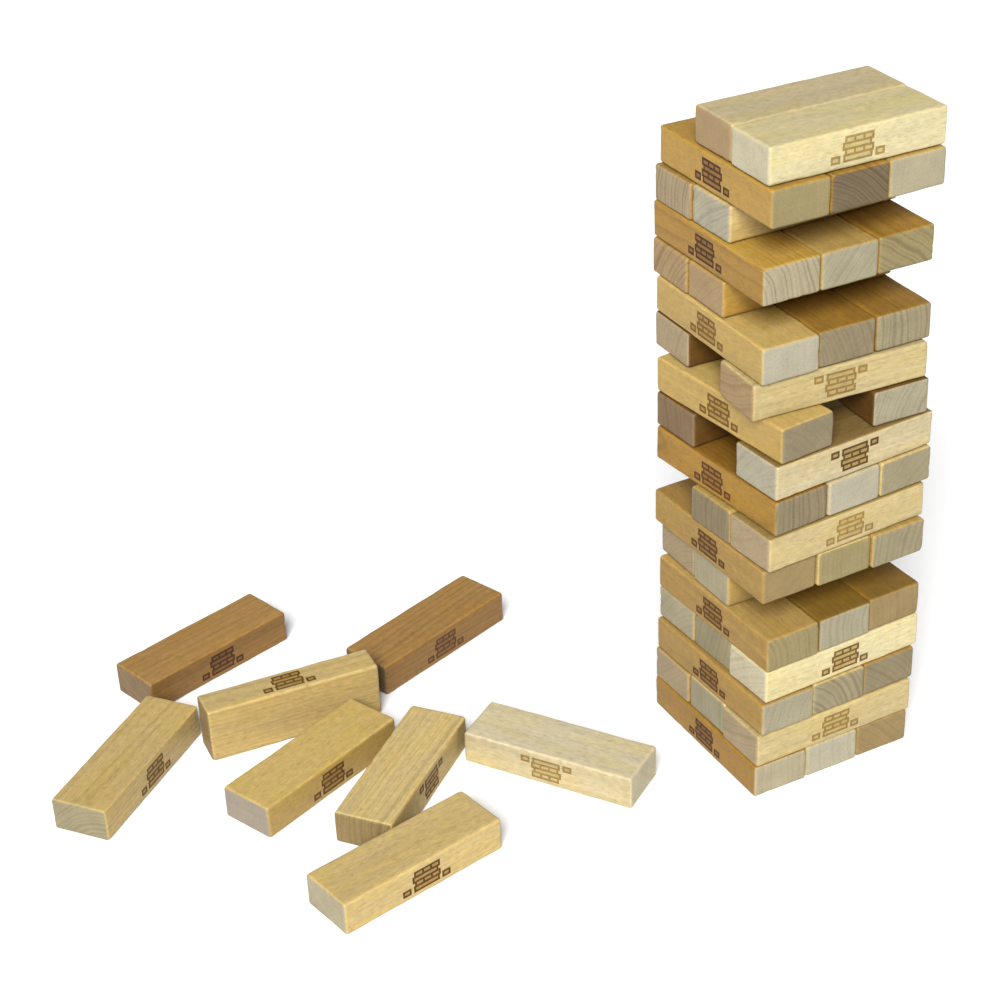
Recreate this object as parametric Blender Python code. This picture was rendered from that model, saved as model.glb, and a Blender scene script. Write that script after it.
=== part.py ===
"""Table-top stacking game: a part-played tower of wooden blocks and the blocks taken out of it.

+Z is up, -Y is the front and -X the left. The origin is on the table, under the tower's centre.
Eighteen courses are laid crosswise: odd ones run front to back, even ones run left to right.
Every block is the same plain bar with rounded edges, and each is an object of its own, with its
origin at its centre, which is on the line along which the block slides out or is lifted.
"""

import math

import bmesh
import bpy
from mathutils import Matrix, Vector

MM = 0.001
QUARTER_TURN = math.radians(90)

# Driving dimensions. A block is 75 x 25 x 15 mm as sold; the gap to each neighbour is taken off
# its width and height, so that the courses still rise by 15 mm.
BLOCK_LENGTH = 75.0 * MM
LANE_WIDTH = 25.0 * MM
COURSE_HEIGHT = 15.0 * MM
GAP = 0.3 * MM
BLOCK_WIDTH = LANE_WIDTH - GAP
BLOCK_HEIGHT = COURSE_HEIGHT - GAP
EDGE_RADIUS = 1.2 * MM
EDGE_SEGMENTS = 2

LANES = (-1, 0, 1)
LANE_NAMES = {"y": ("left", "middle", "right"), "x": ("front", "middle", "back")}

# Wood tones as (red, green, blue), linear.
TONES = {
    "cream": (0.72, 0.58, 0.34),
    "straw": (0.62, 0.47, 0.24),
    "gold": (0.50, 0.34, 0.14),
    "honey": (0.45, 0.28, 0.11),
    "sand": (0.47, 0.38, 0.23),
    "rose": (0.46, 0.32, 0.20),
    "brown": (0.30, 0.18, 0.08),
}
WOOD_ROUGHNESS = 0.6

OUT = None  # a place in a course from which the block has been taken

# The courses from the table up, as the game has left them. Each row says how far the course is
# pushed to the right and to the back (mm), its twist (degrees, or one for each block), how far
# each block has slipped along its own length (mm), and each block's tone. The blocks are listed
# from left to right in an odd course and from front to back in an even one.
COURSES = (
    (0.0, 0.0, 0.0, (-0.5, 0.0, 0.5), ("gold", "straw", "brown")),
    (0.5, -0.5, 1.0, (-0.5, 0.5, 0.0), ("straw", "sand", "rose")),
    (1.0, -0.5, 1.5, (-0.5, 0.0, 0.5), ("gold", "sand", "rose")),
    (2.5, 0.0, 2.5, (-0.5, 0.5, 0.5), ("cream", "sand", "sand")),
    (2.0, -0.5, 2.0, (-0.5, 0.0, 1.0), ("gold", "rose", "honey")),
    (3.0, 0.0, 0.0, (OUT, 0.0, 0.5), (OUT, "sand", "rose")),
    (1.5, 0.5, 1.5, (1.0, 0.0, -1.0), ("gold", "sand", "sand")),
    (1.0, 0.5, 3.5, (0.0, 0.0, OUT), ("cream", "sand", OUT)),
    (3.0, 1.0, 4.5, (0.5, 0.0, -0.5), ("gold", "cream", "sand")),
    (3.0, 1.5, 4.0, (0.5, OUT, 0.0), ("cream", OUT, "rose")),
    (4.0, 2.0, (6.0, OUT, -2.0), (0.5, OUT, 3.0), ("gold", OUT, "sand")),
    (3.5, 6.5, (-3.5, OUT, -1.0), (0.5, OUT, 1.0), ("straw", OUT, "rose")),
    (4.5, 6.5, -1.0, (-0.5, 0.5, 0.5), ("gold", "sand", "sand")),
    (5.0, 9.0, -1.0, (OUT, 0.5, 0.0), (OUT, "rose", "sand")),
    (5.5, 9.0, -0.5, (0.0, 0.0, 0.5), ("honey", "cream", "honey")),
    (6.0, 8.5, 0.5, (OUT, 0.5, 0.0), (OUT, "straw", "rose")),
    (7.0, 7.0, -0.5, (0.0, 0.0, 0.5), ("gold", "brown", "straw")),
    (7.5, 9.0, -1.0, (0.0, 0.5, OUT), ("cream", "straw", OUT)),
)

# The blocks taken out, on the table to the left: centre to the right and to the back (mm), turn
# of the long axis from +X (degrees), whether the block stands on its narrow side, and its tone.
LOOSE_BLOCKS = (
    (-192.0, 163.0, 17.0, False, "brown"),
    (-177.0, 100.0, -4.0, True, "straw"),
    (-102.0, 124.5, 20.0, False, "brown"),
    (-248.5, 102.0, 39.5, False, "gold"),
    (-184.0, 63.0, 22.5, False, "gold"),
    (-155.5, 37.5, 40.0, False, "rose"),
    (-94.0, 18.5, -55.5, False, "cream"),
    (-177.0, -9.5, 11.5, False, "gold"),
)


def clear_scene():
    for item in list(bpy.data.objects):
        bpy.data.objects.remove(item, do_unlink=True)


def wood(name, tone):
    material = bpy.data.materials.new(name)
    material.use_nodes = True
    shader = material.node_tree.nodes["Principled BSDF"]
    shader.inputs["Base Color"].default_value = (*TONES[tone], 1.0)
    shader.inputs["Roughness"].default_value = WOOD_ROUGHNESS
    shader.inputs["Metallic"].default_value = 0.0
    material.diffuse_color = (*TONES[tone], 1.0)
    return material


def bar_mesh(name):
    """A bar along X, centred on its origin, with all its edges and corners rounded."""
    bm = bmesh.new()
    bmesh.ops.create_cube(bm, size=1.0)
    size = Vector((BLOCK_LENGTH, BLOCK_WIDTH, BLOCK_HEIGHT))
    bmesh.ops.scale(bm, vec=size, verts=bm.verts)
    bmesh.ops.bevel(
        bm,
        geom=bm.edges[:],
        offset=EDGE_RADIUS,
        offset_type="OFFSET",
        segments=EDGE_SEGMENTS,
        profile=0.5,
        affect="EDGES",
    )
    bmesh.ops.recalc_face_normals(bm, faces=bm.faces)
    mesh = bpy.data.meshes.new(name)
    bm.to_mesh(mesh)
    bm.free()
    mesh.shade_smooth()
    return mesh


def add_block(name, tone, centre, turn, on_side=False):
    """One block, its long axis turned from +X about +Z. It lies flat, or stands on a narrow side."""
    mesh = bar_mesh(name)
    mesh.materials.append(wood(name, tone))
    block = bpy.data.objects.new(name, mesh)
    roll = QUARTER_TURN if on_side else 0.0
    block.rotation_euler = (roll, 0.0, turn)
    block.location = centre
    bpy.context.scene.collection.objects.link(block)
    block.modifiers.new("Flat faces", "WEIGHTED_NORMAL")


def build_course(number, right, back, twist, slips, tones):
    """The blocks that are left in one course, side by side in their lanes."""
    runs = "y" if number % 2 else "x"
    bottom = (number - 1) * COURSE_HEIGHT
    twists = twist if isinstance(twist, tuple) else (twist,) * len(LANES)
    for index, lane in enumerate(LANES):
        if slips[index] is OUT:
            continue
        across = lane * LANE_WIDTH
        along = slips[index] * MM
        place = Vector((along, across, 0.0)) if runs == "x" else Vector((across, along, 0.0))
        angle = math.radians(twists[index])
        centre = Matrix.Rotation(angle, 3, "Z") @ place
        centre += Vector((right * MM, back * MM, bottom + BLOCK_HEIGHT / 2))
        turn = angle if runs == "x" else angle + QUARTER_TURN
        name = f"course_{number:02d}_{LANE_NAMES[runs][index]}"
        add_block(name, tones[index], centre, turn)


def build_loose_blocks():
    for number, (right, back, turn, on_side, tone) in enumerate(LOOSE_BLOCKS, start=1):
        height = (BLOCK_WIDTH if on_side else BLOCK_HEIGHT) / 2
        centre = Vector((right * MM, back * MM, height))
        add_block(f"loose_block_{number}", tone, centre, math.radians(turn), on_side)


def main():
    clear_scene()
    for number, course in enumerate(COURSES, start=1):
        build_course(number, *course)
    build_loose_blocks()


main()
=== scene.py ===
"""Looks of the part-played stacking tower: sanded wooden blocks, each cut from its own piece of wood.

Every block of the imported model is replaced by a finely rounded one, slightly worn along its edges.
Its growth rings, fibres and flecks run right through it, so that its ends and sides agree, and a
small pictogram is burnt into one narrow side.
"""

import math
import random

import bmesh
import bpy
import numpy as np
from mathutils import Matrix, Vector, noise


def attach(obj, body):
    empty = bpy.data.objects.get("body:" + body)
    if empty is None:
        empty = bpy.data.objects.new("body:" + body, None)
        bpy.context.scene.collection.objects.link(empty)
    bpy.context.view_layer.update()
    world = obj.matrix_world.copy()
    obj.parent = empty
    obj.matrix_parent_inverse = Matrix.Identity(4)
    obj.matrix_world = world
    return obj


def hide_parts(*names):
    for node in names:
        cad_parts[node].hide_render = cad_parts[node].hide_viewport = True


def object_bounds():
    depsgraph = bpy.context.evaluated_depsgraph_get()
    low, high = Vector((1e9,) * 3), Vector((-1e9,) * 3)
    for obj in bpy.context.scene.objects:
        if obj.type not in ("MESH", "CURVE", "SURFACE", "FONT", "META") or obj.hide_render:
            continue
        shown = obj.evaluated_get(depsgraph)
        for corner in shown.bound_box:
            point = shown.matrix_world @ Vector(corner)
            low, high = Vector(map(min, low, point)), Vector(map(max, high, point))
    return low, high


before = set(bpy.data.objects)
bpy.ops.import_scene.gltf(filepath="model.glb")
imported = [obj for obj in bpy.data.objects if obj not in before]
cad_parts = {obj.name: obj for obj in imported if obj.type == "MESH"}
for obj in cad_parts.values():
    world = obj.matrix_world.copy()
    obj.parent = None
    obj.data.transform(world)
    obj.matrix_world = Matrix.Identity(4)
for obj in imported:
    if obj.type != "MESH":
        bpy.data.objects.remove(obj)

CAD_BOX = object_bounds()
MM = 0.001

# ---------------------------------------------------------------------------------------------
# Looks of the blocks
# ---------------------------------------------------------------------------------------------

# Long-grain tones, linear, from the palest wood to the darkest.
FACE_TONES = {
    "ivory": (0.43, 0.375, 0.205),
    "straw": (0.39, 0.29, 0.115),
    "cream": (0.355, 0.295, 0.165),
    "wheat": (0.345, 0.275, 0.125),
    "flax": (0.31, 0.21, 0.06),
    "saffron": (0.29, 0.175, 0.032),
    "gold": (0.25, 0.155, 0.04),
    "honey": (0.245, 0.135, 0.019),
    "amber": (0.21, 0.115, 0.017),
    "rust": (0.185, 0.095, 0.021),
    # walnut and cocoa are painted shade: dark tones for blocks whose seen faces lie in shade, the tops
    # of course 5 under the overhang and the walls of the recesses in courses 10 to 12.
    "shade_walnut": (0.15, 0.085, 0.012),
    "shade_cocoa": (0.09, 0.042, 0.006),
}

# End-grain tones, linear, from the palest to the darkest: greyer than the long grain.
END_TONES = {
    "chalk": (0.38, 0.34, 0.23),
    "pearl": (0.28, 0.255, 0.18),
    "sand": (0.265, 0.23, 0.145),
    "mist": (0.235, 0.21, 0.135),
    "rose": (0.26, 0.2, 0.115),
    "fawn": (0.265, 0.18, 0.085),
    "silver": (0.215, 0.18, 0.135),
    "dove": (0.205, 0.175, 0.1),
    "olive": (0.2, 0.16, 0.07),
    "tan": (0.2, 0.14, 0.055),
    "bark": (0.17, 0.135, 0.075),
    "umber": (0.15, 0.098, 0.047),
    "smoke": (0.11, 0.08, 0.041),
}

# Every block: its face tone and end tone; where the heart of the tree lay, as seen on the block's
# near end (degrees from the right, distance in mm); the width of a growth ring in mm and how dark
# its line is; how dark the burnt mark is; and how much paler or darker its wide sides are painted
# beside the narrow ones: painted light above 1, painted shade below 1.
LOOKS = {
    "course_01_left": ("amber", "sand", 0, 70, 2.6, 0.25, 1.05, 1),
    "course_01_middle": ("straw", "pearl", 5, 45, 3.0, 0.3, 0.6, 1),
    "course_01_right": ("gold", "tan", 225, 60, 2.0, 0.35, 0.6, 1),
    "course_02_front": ("wheat", "rose", 110, 70, 2.2, 0.4, 0.4, 1),
    "course_02_middle": ("straw", "mist", 0, 70, 2.0, 0.4, 0.5, 1),
    "course_02_back": ("gold", "rose", 130, 60, 2.4, 0.25, 0.6, 1),
    "course_03_left": ("gold", "mist", 340, 60, 2.2, 0.3, 0.85, 1),
    "course_03_middle": ("straw", "dove", 215, 24, 2.6, 0.9, 0.6, 1),
    "course_03_right": ("honey", "bark", 225, 50, 1.6, 0.5, 0.7, 1),
    "course_04_front": ("ivory", "chalk", 305, 60, 2.2, 0.4, 0.85, 1),
    "course_04_middle": ("flax", "dove", 345, 60, 2.4, 0.4, 0.6, 1),
    "course_04_back": ("flax", "sand", 315, 60, 2.2, 0.3, 0.6, 1),
    "course_05_left": ("gold", "olive", 190, 32, 2.4, 0.5, 0.8, 1.22),
    "course_05_middle": ("shade_walnut", "mist", 0, 24, 2.6, 0.5, 0.6, 1),
    "course_05_right": ("shade_walnut", "tan", 185, 60, 2.0, 0.3, 0.6, 1),
    "course_06_middle": ("flax", "sand", 0, 80, 2.2, 0.3, 0.6, 1),
    "course_06_back": ("flax", "rose", 310, 40, 2.0, 0.45, 0.6, 1),
    "course_07_left": ("gold", "tan", 135, 70, 2.4, 0.15, 0.9, 0.9),
    "course_07_middle": ("straw", "olive", 0, 80, 2.0, 0.3, 0.5, 1),
    "course_07_right": ("flax", "dove", 350, 40, 3.0, 0.6, 0.6, 1),
    "course_08_front": ("wheat", "rose", 120, 70, 2.2, 0.2, 0.35, 0.6),
    "course_08_middle": ("flax", "bark", 0, 60, 2.0, 0.6, 0.6, 1),
    "course_09_left": ("honey", "bark", 180, 55, 2.2, 0.9, 0.8, 0.7),
    "course_09_middle": ("cream", "pearl", 100, 80, 2.2, 0.12, 0.5, 1),
    "course_09_right": ("straw", "dove", 315, 60, 1.8, 0.25, 0.6, 1),
    "course_10_front": ("cream", "pearl", 310, 60, 2.2, 0.3, 1.0, 0.42),
    "course_10_back": ("shade_cocoa", "umber", 190, 60, 1.8, 0.6, 0.7, 1),
    "course_11_left": ("flax", "bark", 225, 60, 2.4, 0.25, 0.65, 1.15),
    "course_11_right": ("shade_cocoa", "mist", 335, 60, 1.7, 0.6, 0.6, 1),
    "course_12_front": ("wheat", "fawn", 110, 70, 2.2, 0.5, 0.4, 1),
    "course_12_back": ("shade_cocoa", "rose", 340, 60, 1.8, 0.4, 0.7, 1),
    "course_13_left": ("flax", "pearl", 185, 60, 2.4, 0.15, 0.6, 1.2),
    "course_13_middle": ("amber", "bark", 200, 45, 1.8, 0.5, 0.6, 1),
    "course_13_right": ("amber", "dove", 182, 80, 2.2, 0.9, 0.6, 1),
    "course_14_middle": ("saffron", "fawn", 315, 60, 2.0, 0.25, 0.6, 1),
    "course_14_back": ("gold", "fawn", 325, 60, 2.2, 0.8, 0.7, 1),
    "course_15_left": ("honey", "sand", 197, 45, 2.2, 0.9, 1.05, 1.5),
    "course_15_middle": ("flax", "mist", 320, 60, 2.0, 0.4, 0.5, 1),
    "course_15_right": ("honey", "olive", 232, 60, 2.0, 0.8, 0.6, 1),
    "course_16_middle": ("straw", "pearl", 305, 60, 2.0, 0.5, 0.5, 1),
    "course_16_back": ("gold", "rose", 350, 45, 2.3, 0.9, 0.7, 1),
    "course_17_left": ("saffron", "olive", 0, 80, 2.4, 0.12, 1.1, 0.95),
    "course_17_middle": ("honey", "smoke", 232, 35, 1.4, 1.0, 0.6, 1),
    "course_17_right": ("flax", "sand", 0, 50, 2.4, 0.12, 0.5, 1),
    "course_18_front": ("ivory", "chalk", 0, 80, 2.2, 0.12, 0.4, 0.95),
    "course_18_middle": ("cream", "fawn", 0, 80, 2.2, 0.15, 0.6, 1),
    "loose_block_1": ("rust", "umber", 60, 60, 2.2, 0.6, 0.85, 1.42),
    "loose_block_2": ("straw", "tan", 25, 40, 2.2, 0.6, 0.8, 0.9),
    "loose_block_3": ("rust", "umber", 50, 60, 2.2, 0.9, 0.6, 1.38),
    "loose_block_4": ("straw", "dove", 300, 27, 2.0, 0.6, 0.8, 0.95),
    "loose_block_5": ("flax", "silver", 90, 70, 2.2, 0.12, 0.8, 1.24),
    "loose_block_6": ("straw", "tan", 0, 70, 2.0, 0.7, 0.8, 1.1),
    "loose_block_7": ("cream", "chalk", 45, 70, 2.2, 0.2, 0.4, 1.2),
    "loose_block_8": ("straw", "sand", 60, 60, 2.2, 0.3, 1.05, 1.0),
}

# The way that the marked side of a block faces, by the block's place in its course.
MARK_FACES = {
    "left": (-1, 0, 0),
    "right": (1, 0, 0),
    "front": (0, -1, 0),
    "back": (0, 1, 0),
    "middle": (-1, -1, 0),
    "loose": (-0.3, -1, 0.5),
}
# Blocks whose mark is upside down.
UPSIDE_DOWN = ("course_10_front", "course_12_front", "loose_block_2", "loose_block_6", "loose_block_7")

# The rounded edges: their radius, the share by which wear changes it and over what length, the
# mesh steps round half an edge, and the strip beside the edge that holds the flat side flat.
EDGE_RADIUS = 1.35 * MM
EDGE_WEAR = 0.3
EDGE_WEAR_LENGTH = 9 * MM
EDGE_STEPS = 3
EDGE_HOLD = 0.3 * MM

# The flat sides: the mesh step, and the slight unevenness left by sanding.
FACE_STEP = 2.6 * MM
WAVE = 0.05 * MM
WAVE_LENGTH = 14 * MM

# Faces that meet at more than this angle, in degrees, keep a sharp edge between them.
SHARP_ANGLE = 40
# Each block's wear is read from its own part of the noise, within this reach of its origin.
SEED_REACH = 50
TINY = 1e-6

# Dents along the edges of each block: how many, their radius and depth, how far in from the sharp
# corner they lie, in edge radii, and how far along the edge they may be, in half lengths.
DENTS = 5
DENT_SIZE = (1.0 * MM, 2.2 * MM)
DENT_DEPTH = 0.22 * MM
DENT_INSET = 0.3
DENT_REACH = 0.9

# How far the grain may lean from the block's length, as a slope, and how far up the tree, in mm,
# a block may have been cut.
GRAIN_LEAN = 0.035
TREE_HEIGHT = 500

# The burnt mark: a leaning stack of four rows with a fallen bar at each side, in thin strokes.
# It drifts along the side from block to block, and its bars are lightly toasted.
STROKE = 0.9 * MM
STROKE_DEPTH = 0.25 * MM
STROKE_SLOPE = 0.12 * MM
ROW = 2.2 * MM
ROW_LEANS = (0.0, 0.6 * MM, -0.4 * MM, 0.5 * MM)
STACK_HALF = 5.7 * MM
STACK_THIRD = 1.9 * MM
FALLEN_BAR = (7.8 * MM, 10.9 * MM)
MARK_DRIFT = 1.2 * MM
TOASTED = 0.28

# ---------------------------------------------------------------------------------------------
# Block geometry
# ---------------------------------------------------------------------------------------------


def block_frame(node):
    """Centre, size and axes (long, wide, thin) of a packed block, measured from its vertices."""
    points = np.array([v.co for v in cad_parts[node].data.vertices], float)
    centre = (points.max(0) + points.min(0)) / 2
    _, axes = np.linalg.eigh(np.cov((points - centre).T))
    thin, wide, long = (Vector(axes[:, i]) for i in range(3))
    if long.x + 2 * long.y < 0:
        long.negate()
    stands_on_narrow_side = abs(wide.z) > 0.5
    if stands_on_narrow_side:
        wide = Vector((0, 0, 1))
        thin = long.cross(wide)
    else:
        thin = Vector((0, 0, 1))
        wide = thin.cross(long)
    turn = Matrix((long, wide, thin)).transposed()
    local = (points - centre) @ np.array(turn)
    return Vector(centre), Vector(local.max(0) - local.min(0)), turn


def mark_strokes(drift, up):
    """The mark's strokes on a narrow side, and the bars they enclose, each as
    (left, right, low, high) about the side's centre."""
    half = STROKE / 2
    bottom = -len(ROW_LEANS) * ROW / 2
    strokes = []
    bars = []

    def outline(left, right, row):
        low = bottom + row * ROW
        bars.append((left, right, low, low + ROW))
        for level in (low, low + ROW):
            strokes.append((left - half, right + half, level - half, level + half))
        for side in (left, right):
            strokes.append((side - half, side + half, low - half, low + ROW + half))

    for row, lean in enumerate(ROW_LEANS):
        outline(lean - STACK_HALF, lean + STACK_HALF, row)
        if row % 2:
            outline(lean - STACK_THIRD, lean + STACK_THIRD, row)
    near, far = FALLEN_BAR
    outline(near, far, 0)
    outline(-far, -near, 0)
    return [
        [(a + drift, b + drift, *sorted((up * c, up * d))) for a, b, c, d in boxes]
        for boxes in (strokes, bars)
    ]


def inside(x, z, boxes):
    """Whether a point of a narrow side lies in any of the boxes."""
    return any(left < x < right and low < z < high for left, right, low, high in boxes)


def grid_lines(length, extra=()):
    """Places across one side of a block: close together on the rounded edges, even between them,
    with the extra ones in place of the even ones next to them."""
    flat = length / 2 - EDGE_RADIUS
    inner = flat - EDGE_HOLD
    steps = max(2, round(2 * inner / FACE_STEP))
    lines = [inner * (2 * i / steps - 1) for i in range(steps + 1)]
    extra = sorted({round(e, 7) for e in extra})
    lines = [v for v in lines if all(abs(v - e) > FACE_STEP / 4 for e in extra)] + extra
    for i in range(EDGE_STEPS + 1):
        out = flat + EDGE_RADIUS * math.tan(math.pi / 4 * i / EDGE_STEPS)
        lines += [out, -out]
    return sorted(lines)


def box_surface(bm, axes):
    """Quads over the six sides of the box that three lists of grid lines span."""
    verts = {}

    def vert(key):
        if key not in verts:
            verts[key] = bm.verts.new([axes[i][key[i]] for i in range(3)])
        return verts[key]

    for axis in range(3):
        a, b = (axis + 1) % 3, (axis + 2) % 3
        last = len(axes[axis]) - 1
        for end in (0, last):
            for i in range(len(axes[a]) - 1):
                for j in range(len(axes[b]) - 1):
                    corners = []
                    for across, along in ((i, j), (i + 1, j), (i + 1, j + 1), (i, j + 1)):
                        key = [0, 0, 0]
                        key[axis], key[a], key[b] = end, across, along
                        corners.append(vert(tuple(key)))
                    bm.faces.new(corners if end else corners[::-1])


def engrave(bm, side, half_width, strokes):
    """Sinks the strokes into the flat side at local Y = side * half_width. Returns their floors."""
    cut = []
    for face in bm.faces:
        middle = face.calc_center_median()
        on_side = abs(middle.y - side * half_width) <= TINY
        if on_side and inside(middle.x, middle.z, strokes):
            cut.append(face)
    bmesh.ops.inset_region(
        bm, faces=cut, thickness=STROKE_SLOPE, depth=-STROKE_DEPTH, use_even_offset=True
    )
    return {v for face in cut for v in face.verts}


def wear(point, half, seed):
    """A point of the sharp box moved to the rounded, slightly uneven surface, and how it faces."""
    radius = EDGE_RADIUS * (1 + EDGE_WEAR * noise.noise(point / EDGE_WEAR_LENGTH + seed))
    inner = Vector([max(radius - h, min(h - radius, c)) for c, h in zip(point, half)])
    facing = (point - inner).normalized()
    sink = WAVE * (0.5 + 0.5 * noise.noise(point / WAVE_LENGTH - seed))
    return inner + facing * (radius - sink), facing


def dents(size, rng):
    """Small dents along a block's edges, as (centre, radius)."""
    half = size / 2
    found = []
    for _ in range(DENTS):
        along = rng.randrange(3)
        centre = Vector([rng.choice((-1, 1)) * (h - EDGE_RADIUS * DENT_INSET) for h in half])
        centre[along] = rng.uniform(-DENT_REACH, DENT_REACH) * half[along]
        found.append((centre, rng.uniform(*DENT_SIZE)))
    return found


def dent(point, facing, dented):
    """The point sunk into the wood where it lies in a dent."""
    for centre, reach in dented:
        near = (point - centre).length / reach
        if near < 1:
            point = point - facing * DENT_DEPTH * (1 - near * near) ** 2
    return point


def sharp_block(size, mark_side, strokes):
    """A sharp-edged block along X with the mark cut into it, and the floors of its strokes."""
    bm = bmesh.new()
    along = grid_lines(size.x, [v for s in strokes for v in s[:2]])
    upward = grid_lines(size.z, [v for s in strokes for v in s[2:]])
    box_surface(bm, (along, grid_lines(size.y), upward))
    return bm, engrave(bm, mark_side, size.y / 2, strokes)


def grain_places(heart_turn, heart_distance, rng):
    """A function that gives a point's place in the tree, in mm: along the grain, and then
    sideways and upward from the heart."""
    turn = math.radians(heart_turn)
    heart = heart_distance * Vector((math.cos(turn), math.sin(turn)))
    lean = [rng.uniform(-GRAIN_LEAN, GRAIN_LEAN) for _ in range(2)]
    height = rng.uniform(0, TREE_HEIGHT)

    def place(point):
        x, y, z = point / MM
        return (x + height, -y - heart.x + lean[0] * x, z - heart.y + lean[1] * x)

    return place


def block_mesh(name, size, look, mark_side, rng):
    """The mesh of one block along X, with what its wood needs to know at every point."""
    half = size / 2
    seed = Vector([rng.uniform(-SEED_REACH, SEED_REACH) for _ in range(3)])
    drift = rng.uniform(-MARK_DRIFT, MARK_DRIFT)
    up = -1 if name in UPSIDE_DOWN else 1
    strokes, bars = mark_strokes(drift, up)
    bm, burnt = sharp_block(size, mark_side, strokes)
    dented = dents(size, rng)
    grain_place = grain_places(*look[2:4], rng)
    grain = []
    facings = []
    burns = []
    for v in bm.verts:
        flat = v.co.copy()
        if v in burnt:
            burns.append(1.0)
            placed, facing = flat, Vector((0, mark_side, 0))
        else:
            marked = flat.y * mark_side > half.y - STROKE_DEPTH - TINY and inside(flat.x, flat.z, bars)
            burns.append(TOASTED if marked else 0.0)
            placed, facing = wear(flat, half, seed)
        v.co = dent(placed, facing, dented)
        grain.append(grain_place(v.co))
        facings.append(facing)
    mesh = bpy.data.meshes.new(name)
    bm.to_mesh(mesh)
    bm.free()
    mesh.shade_smooth()
    mesh.set_sharp_from_angle(angle=math.radians(SHARP_ANGLE))
    store(mesh, "grain", "FLOAT_VECTOR", "vector", grain)
    store(mesh, "end", "FLOAT", "value", [f.x * f.x for f in facings])
    store(mesh, "wide", "FLOAT", "value", [f.z * f.z for f in facings])
    store(mesh, "edge", "FLOAT", "value", [1 - max(abs(c) for c in f) for f in facings])
    store(mesh, "burn", "FLOAT", "value", burns)
    return mesh


def store(mesh, name, kind, field, values):
    """Keeps one value for every vertex of a mesh, for its wood to read."""
    attribute = mesh.attributes.new(name, kind, "POINT")
    attribute.data.foreach_set(field, np.array(values, np.float32).ravel())


# ---------------------------------------------------------------------------------------------
# Wood
# ---------------------------------------------------------------------------------------------


class Nodes:
    """Short calls for building a node tree."""

    def __init__(self, tree):
        self.tree = tree

    def new(self, kind, settings=None, **inputs):
        node = self.tree.nodes.new(kind)
        for key, value in (settings or {}).items():
            setattr(node, key, value)
        for key, value in inputs.items():
            self.put(node.inputs[key.replace("_", " ")], value)
        return node

    def put(self, socket, value):
        if isinstance(value, bpy.types.NodeSocket):
            self.tree.links.new(value, socket)
        else:
            socket.default_value = value

    def math(self, operation, *values, clamp=False):
        node = self.tree.nodes.new("ShaderNodeMath")
        node.operation = operation
        node.use_clamp = clamp
        for socket, value in zip(node.inputs, values):
            self.put(socket, value)
        return node.outputs[0]

    def vector(self, operation, *values):
        node = self.tree.nodes.new("ShaderNodeVectorMath")
        node.operation = operation
        for socket, value in zip(node.inputs, values):
            self.put(socket, value)
        return node.outputs["Value" if operation == "LENGTH" else "Vector"]

    def scaled(self, vector, factor):
        node = self.new("ShaderNodeVectorMath", {"operation": "SCALE"}, Scale=factor)
        self.put(node.inputs[0], vector)
        return node.outputs["Vector"]

    def attribute(self, name, output="Fac"):
        return self.new("ShaderNodeAttribute", {"attribute_name": name}).outputs[output]

    def noise(self, place, cells=(1.0, 1.0, 1.0), detail=3.0, output="Fac"):
        """Noise over a place, with so many cells to each of its units."""
        place = self.vector("MULTIPLY", place, cells)
        return self.new("ShaderNodeTexNoise", Vector=place, Scale=1.0, Detail=detail).outputs[output]

    def line_noise(self, place, cells):
        """Noise along a single measure."""
        node = self.new("ShaderNodeTexNoise", {"noise_dimensions": "1D"}, W=place, Scale=cells)
        return node.outputs["Fac"]

    def product(self, *layers):
        """The product of slope * layer + level over the layers."""
        result = None
        for layer, slope, level in layers:
            factor = self.math("MULTIPLY_ADD", layer, slope, level)
            result = factor if result is None else self.math("MULTIPLY", result, factor)
        return result

    def total(self, level, *layers):
        """A level plus slope * layer for each of the layers."""
        for layer, slope in layers:
            level = self.math("MULTIPLY_ADD", layer, slope, level)
        return level

    def joined(self, channels):
        """A colour made of three channels."""
        red, green, blue = channels
        return self.new("ShaderNodeCombineColor", Red=red, Green=green, Blue=blue).outputs["Color"]

    def ramp(self, value, stops):
        node = self.new("ShaderNodeValToRGB", Fac=value)
        ramp = node.color_ramp
        while len(ramp.elements) < len(stops):
            ramp.elements.new(1.0)
        for element, (place, level) in zip(ramp.elements, stops):
            element.position = place
            element.color = (level, level, level, 1.0)
        return node.outputs["Color"]

    def span(self, value, low, high, to_low=0.0, to_high=1.0):
        node = self.new("ShaderNodeMapRange", {"interpolation_type": "SMOOTHSTEP"})
        for socket, number in zip(node.inputs, (value, low, high, to_low, to_high)):
            self.put(socket, number)
        return node.outputs[0]

    def mix(self, factor, a, b, blend="MIX"):
        node = self.tree.nodes.new("ShaderNodeMix")
        node.data_type = "RGBA"
        node.blend_type = blend
        self.put(node.inputs[0], factor)
        self.put(node.inputs[6], a)
        self.put(node.inputs[7], b)
        return node.outputs[2]


# Noise cells per mm, along the grain and the two ways across it.
FIBRE_CELLS = (0.26, 1.5, 1.5)
STREAK_CELLS = (0.012, 0.20, 0.20)
FLECK_CELLS = (0.35, 1.9, 1.9)
PORE_CELLS = (0.4, 1.3, 1.75)
CLOUD_CELLS = (0.03, 0.12, 0.12)
BLOTCH_CELLS = (0.38, 0.34, 0.34)
SCORCH_CELLS = (0.4, 0.4, 0.4)
RING_DRIFT_CELLS = (0.016, 0.06, 0.06)
RAY_DRIFT_CELLS = (0.05, 0.16, 0.16)

# The growth rings: how far they stray in mm, how uneven their widths are, how dark a ring is
# across its width from its inner side to its outer, and what its darkest line takes off the wood.
RING_STRAY = (0.0, 3.5, 3.5)
RING_UNEVENNESS = 1.6
RING_PROFILE = ((0.0, 0.40), (0.18, 0.0), (0.50, 0.18), (0.82, 1.0), (1.0, 0.40))
RING_TINT = (0.66, 0.60, 0.54, 1.0)

# Noise cells per radian round the heart, for the rays.
RAY_CELLS = 45.0
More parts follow.
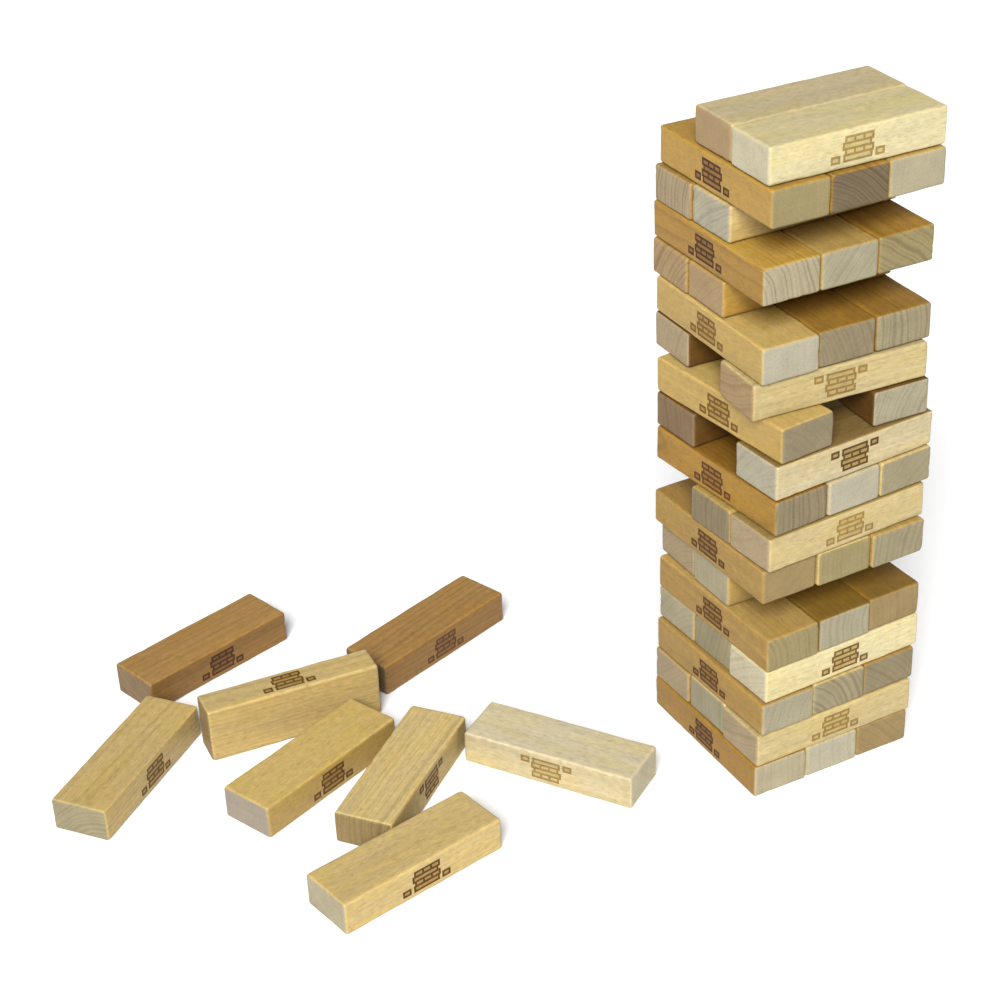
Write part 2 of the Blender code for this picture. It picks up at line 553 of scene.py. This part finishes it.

# How much faster green and blue rise than red where the wide sides carry painted light, and fall
# faster where they carry painted shade.
LIGHT_AND_SHADE_POWERS = (1.0, 1.3, 2.0)

# Tints that the wood's colour is multiplied by: in cool and warm patches, on edges paler from wear
# and from a painted highlight, and where it is burnt with full strength.
COOL_TINT = (1.03, 1.02, 1.06, 1.0)
WARM_TINT = (0.99, 0.95, 0.82, 1.0)
WORN_AND_HIGHLIGHT_TINT = (1.20, 1.15, 1.04, 1.0)
BURN_TINT = (0.25, 0.15, 0.03)

# Where each of these starts and where it is full: the end grain, the wide sides with their painted
# light and shade and the edges with their wear and painted highlight, by how a point faces, and the
# flecks and the warm patches, by their noise.
END_SPAN = (0.25, 0.60)
WIDE_SPAN = (0.25, 0.75)
WORN_AND_HIGHLIGHT_SPAN = (0.02, 0.25)
FLECK_SPAN = (0.54, 0.70)
WARM_SPAN = (0.35, 0.7)

# The noise is turned about the grain by this many radians, so that its lattice isn't in line with
# the block's sides.
NOISE_TURN = 0.6

BUMP_STRENGTH = 0.35
BUMP_HEIGHT = 0.08 * MM
WOOD_SPECULAR = 0.35


def wood_group():
    """One node group for all the wood: colour, roughness and height from the stored grain place."""
    group = bpy.data.node_groups.new("sanded_wood", "ShaderNodeTree")
    for name, kind in (
        ("Face", "NodeSocketColor"),
        ("End", "NodeSocketColor"),
        ("Ring Width", "NodeSocketFloat"),
        ("Ring Contrast", "NodeSocketFloat"),
        ("Burn", "NodeSocketFloat"),
        ("Wide Light And Shade", "NodeSocketFloat"),
    ):
        group.interface.new_socket(name, in_out="INPUT", socket_type=kind)
    for name, kind in (
        ("Color", "NodeSocketColor"),
        ("Roughness", "NodeSocketFloat"),
        ("Height", "NodeSocketFloat"),
    ):
        group.interface.new_socket(name, in_out="OUTPUT", socket_type=kind)
    n = Nodes(group)
    given = n.new("NodeGroupInput").outputs
    result = n.new("NodeGroupOutput").inputs
    grain = n.attribute("grain", "Vector")
    turned = n.new(
        "ShaderNodeVectorRotate", {"rotation_type": "X_AXIS"}, Vector=grain, Angle=NOISE_TURN
    ).outputs["Vector"]

    end = n.span(n.attribute("end"), *END_SPAN)
    wide = n.span(n.attribute("wide"), *WIDE_SPAN)
    edge = n.attribute("edge")

    # Growth rings: uneven, wavy circles round the heart, each darkening towards its outer side and
    # some fainter than others.
    drift = n.noise(grain, RING_DRIFT_CELLS, 2.0, "Color")
    drift = n.vector("MULTIPLY", n.vector("SUBTRACT", drift, (0.5, 0.5, 0.5)), RING_STRAY)
    across = n.vector("MULTIPLY", n.vector("ADD", grain, drift), (0.0, 1.0, 1.0))
    radius = n.math("DIVIDE", n.vector("LENGTH", across), given["Ring Width"])
    phase = n.math("MULTIPLY_ADD", n.line_noise(radius, 0.45), RING_UNEVENNESS, radius)
    line = n.ramp(n.math("FRACT", phase), RING_PROFILE)
    strength = n.span(n.line_noise(radius, 0.8), 0.35, 0.65, 0.45, 1.15)
    ring = n.math("MULTIPLY", n.math("MULTIPLY", line, strength), given["Ring Contrast"])

    # Rays: short pale and dark dashes that run out from the heart across the rings.
    outward = n.scaled(n.vector("NORMALIZE", across), RAY_CELLS)
    ray = n.vector("ADD", outward, n.vector("MULTIPLY", grain, RAY_DRIFT_CELLS))
    ray = n.noise(ray, detail=2.0)

    # Fibres, flecks, pores and mottling.
    fibre = n.noise(turned, FIBRE_CELLS)
    streak = n.noise(turned, STREAK_CELLS)
    fleck = n.span(n.noise(turned, FLECK_CELLS, 2.0), *FLECK_SPAN)
    pores = n.noise(turned, PORE_CELLS)
    cloud = n.noise(turned, CLOUD_CELLS)
    blotch = n.noise(turned, BLOTCH_CELLS, 4.0)

    # Long grain: paler or darker by slope * layer + level for each layer, and warmer in patches.
    shade = n.product(
        (fibre, 0.44, 0.78),
        (streak, 0.32, 0.84),
        (cloud, 0.30, 0.86),
        (ring, -0.30, 1.06),
        (fleck, -0.22, 1.045),
        (blotch, 0.34, 0.83),
    )
    # Wide sides paler or darker than the narrow ones by the block's factor: painted light above 1,
    # painted shade below 1.
    wide_light_and_shade = n.math("MULTIPLY_ADD", wide, n.math("SUBTRACT", given["Wide Light And Shade"], 1.0), 1.0)
    wide_light_tint = n.joined(n.math("POWER", wide_light_and_shade, power) for power in LIGHT_AND_SHADE_POWERS)
    long_grain = n.scaled(n.mix(1.0, given["Face"], wide_light_tint, "MULTIPLY"), shade)
    warm = n.mix(n.span(cloud, *WARM_SPAN), COOL_TINT, WARM_TINT)
    long_grain = n.mix(1.0, long_grain, warm, "MULTIPLY")

    # End grain, with the lines of the growth rings.
    shade = n.product((pores, 0.46, 0.79), (ray, 0.12, 0.94), (cloud, 0.36, 0.84))
    end_grain = n.scaled(given["End"], shade)
    end_grain = n.mix(ring, end_grain, n.mix(1.0, end_grain, RING_TINT, "MULTIPLY"))
    colour = n.mix(end, long_grain, end_grain)

    # Edges paler from wear and from a painted highlight, and the scorched mark.
    worn_and_highlight = n.math("MULTIPLY", streak, 1.2)
    worn_and_highlight = n.math("MULTIPLY", n.span(edge, *WORN_AND_HIGHLIGHT_SPAN), worn_and_highlight, clamp=True)
    colour = n.mix(worn_and_highlight, colour, n.mix(1.0, colour, WORN_AND_HIGHLIGHT_TINT, "MULTIPLY"))
    patchy = n.math("MULTIPLY_ADD", n.noise(turned, SCORCH_CELLS), 0.8, 0.85)
    scorch = n.math("MULTIPLY", n.attribute("burn"), patchy)
    scorch = n.math("MULTIPLY", scorch, given["Burn"])
    burnt = n.joined(n.math("POWER", tint, scorch) for tint in BURN_TINT)
    colour = n.mix(1.0, colour, burnt, "MULTIPLY")
    n.put(result["Color"], colour)

    # Ends and scorched strokes are rougher, worn edges smoother; fibres, pores and rings stand out.
    rough = n.total(0.46, (fibre, 0.22), (end, 0.14), (edge, -0.25), (scorch, 0.15))
    n.put(result["Roughness"], rough)
    end_pores = n.math("MULTIPLY", pores, end)
    height = n.total(0.0, (fleck, -0.35), (fibre, 0.8), (ring, 0.15), (end_pores, 0.8))
    n.put(result["Height"], height)
    return group


def wood(name, look, group):
    """The material of one block: the shared wood with this block's tones and figure."""
    face, end, _, _, ring_width, ring_contrast, burn, wide_light_and_shade = look
    material = bpy.data.materials.new(name)
    material.use_nodes = True
    n = Nodes(material.node_tree)
    shader = material.node_tree.nodes["Principled BSDF"]
    body = n.new("ShaderNodeGroup")
    body.node_tree = group
    n.put(body.inputs["Face"], (*FACE_TONES[face], 1.0))
    n.put(body.inputs["End"], (*END_TONES[end], 1.0))
    n.put(body.inputs["Ring Width"], ring_width)
    n.put(body.inputs["Ring Contrast"], ring_contrast)
    n.put(body.inputs["Burn"], burn)
    n.put(body.inputs["Wide Light And Shade"], wide_light_and_shade)
    bump = n.new(
        "ShaderNodeBump",
        Strength=BUMP_STRENGTH,
        Distance=BUMP_HEIGHT,
        Height=body.outputs["Height"],
    )
    n.put(shader.inputs["Base Color"], body.outputs["Color"])
    n.put(shader.inputs["Roughness"], body.outputs["Roughness"])
    n.put(shader.inputs["Normal"], bump.outputs["Normal"])
    n.put(shader.inputs["Specular IOR Level"], WOOD_SPECULAR)
    return material


# ---------------------------------------------------------------------------------------------
# The pieces
# ---------------------------------------------------------------------------------------------


def build_blocks():
    """Puts a finished block in place of every packed one."""
    group = wood_group()
    for index, (node, look) in enumerate(LOOKS.items()):
        rng = random.Random(index)
        place = node.split("_")[-1] if node.startswith("course") else "loose"
        centre, size, turn = block_frame(node)
        mark_side = 1 if turn.col[1].dot(Vector(MARK_FACES[place])) > 0 else -1
        name = f"{node}_wood"
        mesh = block_mesh(node, size, look, mark_side, rng)
        mesh.materials.append(wood(name, look, group))
        block = bpy.data.objects.new(name, mesh)
        block.matrix_world = Matrix.Translation(centre) @ turn.to_4x4()
        bpy.context.scene.collection.objects.link(block)
        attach(block, node)
        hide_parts(node)


# ---------------------------------------------------------------------------------------------
# Floor, light and camera
# ---------------------------------------------------------------------------------------------

FLOOR_RADIUS = 12.0
FLOOR_SIDES = 96
FLOOR_TONE = (0.93, 0.93, 0.93, 1.0)
FLOOR_ROUGHNESS = 0.95
FLOOR_SPECULAR = 0.1

# The sky is a white fill that brightens towards the horizon, between two heights of its unit ball.
FILL_STRENGTH = 0.33
HORIZON = (0.02, 0.22)
HORIZON_STRENGTH = 0.95

# The key light's place only gives its direction; its spread is in degrees.
KEY_PLACE = (-3.08, -3.87, 4.31)
KEY_STRENGTH = 5.2
KEY_SPREAD = 30.0

# The camera: its place in m, its turn, tilt and roll in degrees, and its lens and sensor in mm.
CAMERA_PLACE = (-0.4318, -0.6110, 0.5528)
CAMERA_TURN = 63.34
CAMERA_TILT = -30.74
CAMERA_ROLL = -2.62
CAMERA_LENS = 79.32
CAMERA_SENSOR = 36.0
CAMERA_REACH = (0.05, 50.0)


def build_floor():
    """A plain white disc, wide enough to fill the picture from every side."""
    bm = bmesh.new()
    bmesh.ops.create_circle(bm, cap_ends=True, segments=FLOOR_SIDES, radius=FLOOR_RADIUS)
    mesh = bpy.data.meshes.new("floor")
    bm.to_mesh(mesh)
    bm.free()
    material = bpy.data.materials.new("floor")
    material.use_nodes = True
    shader = material.node_tree.nodes["Principled BSDF"]
    shader.inputs["Base Color"].default_value = FLOOR_TONE
    shader.inputs["Roughness"].default_value = FLOOR_ROUGHNESS
    shader.inputs["Specular IOR Level"].default_value = FLOOR_SPECULAR
    mesh.materials.append(material)
    floor = bpy.data.objects.new("floor", mesh)
    bpy.context.scene.collection.objects.link(floor)


def add_key(target):
    """A soft key light: a distant lamp that spans a wide angle, so the floor is lit evenly."""
    light = bpy.data.lights.new("key", "SUN")
    light.energy = KEY_STRENGTH
    light.angle = math.radians(KEY_SPREAD)
    lamp = bpy.data.objects.new("key", light)
    lamp.location = KEY_PLACE
    lamp.rotation_euler = (target - Vector(KEY_PLACE)).to_track_quat("-Z", "Y").to_euler()
    bpy.context.scene.collection.objects.link(lamp)


def build_light():
    """The white sky and the key light."""
    world = bpy.data.worlds.new("studio")
    world.use_nodes = True
    sky = world.node_tree.nodes["Background"]
    sky.inputs["Color"].default_value = (1.0, 1.0, 1.0, 1.0)
    n = Nodes(world.node_tree)
    toward = n.new("ShaderNodeTexCoord").outputs["Generated"]
    height = n.new("ShaderNodeSeparateXYZ", Vector=toward).outputs["Z"]
    n.put(sky.inputs["Strength"], n.span(height, *HORIZON, HORIZON_STRENGTH, FILL_STRENGTH))
    bpy.context.scene.world = world
    low, high = CAD_BOX
    add_key((low + high) / 2)
    bpy.context.scene.view_settings.view_transform = "Standard"


def build_camera():
    """The camera, its axes worked out from its turn, tilt and roll."""
    turn, tilt, roll = (math.radians(a) for a in (CAMERA_TURN, CAMERA_TILT, CAMERA_ROLL))
    ahead = Vector((math.cos(tilt) * math.cos(turn), math.cos(tilt) * math.sin(turn), math.sin(tilt)))
    level = ahead.cross(Vector((0, 0, 1))).normalized()
    upward = level.cross(ahead)
    right = math.cos(roll) * level + math.sin(roll) * upward
    up = math.cos(roll) * upward - math.sin(roll) * level
    data = bpy.data.cameras.new("camera")
    data.lens = CAMERA_LENS
    data.sensor_width = CAMERA_SENSOR
    data.clip_start, data.clip_end = CAMERA_REACH
    camera = bpy.data.objects.new("camera", data)
    pose = Matrix((right, up, -ahead)).transposed().to_4x4()
    camera.matrix_world = Matrix.Translation(CAMERA_PLACE) @ pose
    bpy.context.scene.collection.objects.link(camera)
    bpy.context.scene.camera = camera


build_floor()
build_light()
build_camera()
build_blocks()
